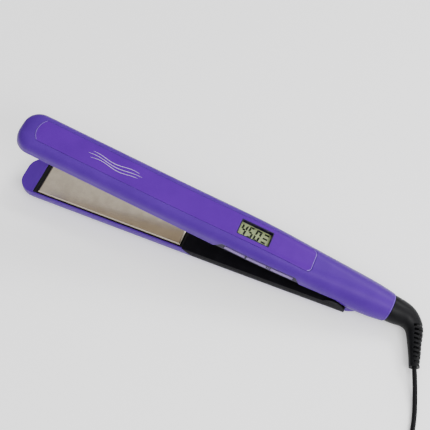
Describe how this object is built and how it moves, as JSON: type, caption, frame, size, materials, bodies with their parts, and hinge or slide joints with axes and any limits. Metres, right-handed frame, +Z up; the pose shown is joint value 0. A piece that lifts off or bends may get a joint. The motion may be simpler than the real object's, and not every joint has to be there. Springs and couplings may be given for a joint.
{
  "type": "flat iron",
  "caption": "Slim hair straightener: two long hinged arms with sprung heating plates, a side row of buttons, a display window and a swivelling ribbed cord guard.",
  "frame": {"origin": "bottom centre of the box of the open iron without its cord, guard and plug", "axes": "+X from the plate tips to the cord end, +Y across the arms away from the buttons, +Z up from the table"},
  "size_m": [0.3098, 0.1796, 0.0734],
  "materials": {
    "violet_shell": "pearl gloss",
    "violet_panel": "satin gloss",
    "violet_trim": "satin",
    "lilac_bezel": "gloss",
    "window": "clear",
    "display": "satin",
    "lilac_buttons": "pearl satin",
    "black_cover": "fine grain satin",
    "heatproof_plastic": "matte",
    "plate_coating": "polished champagne coating",
    "heater_ceramic": "matte ceramic",
    "silicone": "matte",
    "circuit_board": "satin",
    "components": "matte",
    "lead_sleeve": "matte",
    "steel": "zinc plated",
    "bronze": "sintered",
    "cord_black": "satin",
    "tie_black": "satin",
    "plug_black": "satin",
    "blade_brass": "plated"
  },
  "bodies": {
    "lower_arm": {"lower_shell": "violet_shell", "lower_inner_cover": "black_cover", "lower_cover_screws": "steel", "hinge_knuckle": "heatproof_plastic", "hinge_pin": "steel", "torsion_spring": "steel", "lower_plate_carrier": "heatproof_plastic", "lower_float_pads": "silicone", "lower_heater_leads": "lead_sleeve"},
    "main_arm": {"main_shell": "violet_shell", "top_panel": "violet_panel", "display_bezel": "lilac_bezel", "display_window": "window", "lcd_module": "display", "main_inner_cover": "black_cover", "main_cover_screws": "steel", "button_trim": "violet_trim", "tactile_switches": "components", "control_board": "circuit_board", "board_components": "components", "upper_heater_leads": "lead_sleeve", "rear_cover": "violet_shell", "hinge_yoke": "heatproof_plastic", "hinge_bushes": "bronze", "swivel_socket": "violet_shell", "upper_plate_carrier": "heatproof_plastic", "upper_float_pads": "silicone"},
    "upper_plate": {"upper_plate": "plate_coating", "upper_heater": "heater_ceramic", "thermal_fuse": "components"},
    "lower_plate": {"lower_plate": "plate_coating", "lower_heater": "heater_ceramic", "temperature_sensor": "components"},
    "button_power": {"button_power": "lilac_buttons"},
    "button_plus": {"button_plus": "lilac_buttons"},
    "button_minus": {"button_minus": "lilac_buttons"},
    "lock_slider": {"lock_slider": "black_cover"},
    "cord_swivel": {"cord_guard": "cord_black", "cord_lead": "cord_black", "cord_coil": "cord_black", "cord_tail": "cord_black", "cord_tie": "tie_black", "mains_plug": "plug_black", "plug_blades": "blade_brass"}
  },
  "joints": [
    {"name": "arm_hinge", "type": "hinge", "parent": "lower_arm", "child": "main_arm", "pos_m": [0.10145, 0, 0.016], "axis": [0, -1, 0], "range_deg": [0, 12], "stiffness_Nm_per_rad": 1, "springref_deg": -22.92, "deforming": ["torsion_spring"]},
    {"name": "upper_plate_float", "type": "slide", "parent": "main_arm", "child": "upper_plate", "axis": [0.2079, 0, 0.9781], "range_m": [0, 0.0008], "stiffness_N_per_m": 2000, "springref_m": -0.001, "deforming": ["upper_float_pads"]},
    {"name": "lower_plate_float", "type": "slide", "parent": "lower_arm", "child": "lower_plate", "axis": [0, 0, -1], "range_m": [0, 0.0008], "stiffness_N_per_m": 2000, "springref_m": -0.001, "deforming": ["lower_float_pads"]},
    {"name": "power_press", "type": "slide", "parent": "main_arm", "child": "button_power", "axis": [0, 1, 0], "range_m": [0, 0.0006], "stiffness_N_per_m": 800, "springref_m": -0.0005},
    {"name": "plus_press", "type": "slide", "parent": "main_arm", "child": "button_plus", "axis": [0, 1, 0], "range_m": [0, 0.0006], "stiffness_N_per_m": 800, "springref_m": -0.0005},
    {"name": "minus_press", "type": "slide", "parent": "main_arm", "child": "button_minus", "axis": [0, 1, 0], "range_m": [0, 0.0006], "stiffness_N_per_m": 800, "springref_m": -0.0005},
    {"name": "lock_slide", "type": "slide", "parent": "main_arm", "child": "lock_slider", "axis": [-0.9984, 0, 0.0562], "range_m": [0, 0.0025]},
    {"name": "cord_swivel", "type": "hinge", "parent": "main_arm", "child": "cord_swivel", "pos_m": [0.13282, 0, 0.01158], "axis": [0.9781, 0, -0.2079], "continuous": true}
  ]
}
